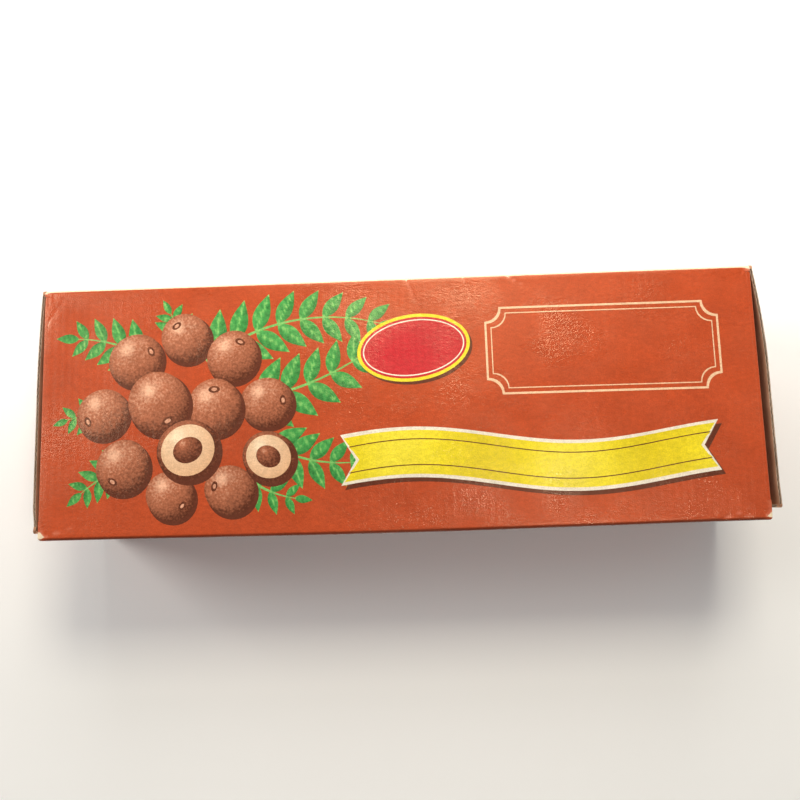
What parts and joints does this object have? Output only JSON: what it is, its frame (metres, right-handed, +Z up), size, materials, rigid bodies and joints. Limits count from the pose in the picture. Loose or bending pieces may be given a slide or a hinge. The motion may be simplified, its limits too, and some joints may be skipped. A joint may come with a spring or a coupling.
{
  "type": "folding carton",
  "caption": "Long printed tuck-end carton of thin corrugated board, shut, with closures and dust flaps that swing on their folds.",
  "frame": {"origin": "middle of the carton's extents, on the surface that the back panel rests on", "axes": "+X along the carton, +Y towards the side panel that carries the closures, +Z up out of the printed front panel"},
  "size_m": [0.2458, 0.0862, 0.062],
  "materials": {
    "printed_board": "satin",
    "plain_board": "matte"
  },
  "bodies": {
    "sleeve": {"sleeve": "printed_board"},
    "closure_left": {"closure_left": "printed_board"},
    "closure_right": {"closure_right": "printed_board"},
    "tuck_lip_left": {"tuck_lip_left": "plain_board"},
    "tuck_lip_right": {"tuck_lip_right": "plain_board"},
    "upper_dust_flap_left": {"upper_dust_flap_left": "plain_board"},
    "upper_dust_flap_right": {"upper_dust_flap_right": "plain_board"},
    "lower_dust_flap_left": {"lower_dust_flap_left": "plain_board"},
    "lower_dust_flap_right": {"lower_dust_flap_right": "plain_board"}
  },
  "joints": [
    {"name": "closure_fold_left", "type": "hinge", "parent": "sleeve", "child": "closure_left", "pos_m": [-0.12185, 0.0431, 0.03], "axis": [0, 0, -1], "range_deg": [0, 175]},
    {"name": "closure_fold_right", "type": "hinge", "parent": "sleeve", "child": "closure_right", "pos_m": [0.12025, 0.0431, 0.03], "axis": [0, 0, 1], "range_deg": [0, 175]},
    {"name": "tuck_fold_left", "type": "hinge", "parent": "closure_left", "child": "tuck_lip_left", "pos_m": [-0.12285, -0.0395, 0.03], "axis": [0, 0, -1], "range_deg": [0, 35]},
    {"name": "tuck_fold_right", "type": "hinge", "parent": "closure_right", "child": "tuck_lip_right", "pos_m": [0.12285, -0.0381, 0.03], "axis": [0, 0, 1], "range_deg": [0, 35]},
    {"name": "upper_dust_fold_left", "type": "hinge", "parent": "sleeve", "child": "upper_dust_flap_left", "pos_m": [-0.1196, 0.0006, 0.0588], "axis": [0, -1, 0], "range_deg": [0, 80]},
    {"name": "upper_dust_fold_right", "type": "hinge", "parent": "sleeve", "child": "upper_dust_flap_right", "pos_m": [0.118, 0.0006, 0.0588], "axis": [0, 1, 0], "range_deg": [0, 80]},
    {"name": "lower_dust_fold_left", "type": "hinge", "parent": "sleeve", "child": "lower_dust_flap_left", "pos_m": [-0.1196, 0.0006, 0.0012], "axis": [0, 1, 0], "range_deg": [0, 80]},
    {"name": "lower_dust_fold_right", "type": "hinge", "parent": "sleeve", "child": "lower_dust_flap_right", "pos_m": [0.118, 0.0006, 0.0012], "axis": [0, -1, 0], "range_deg": [0, 80]}
  ],
  "couplings": [
    {"joint": "tuck_fold_left", "follows": "closure_fold_left", "ratio": 0.2},
    {"joint": "tuck_fold_right", "follows": "closure_fold_right", "ratio": 0.2}
  ]
}
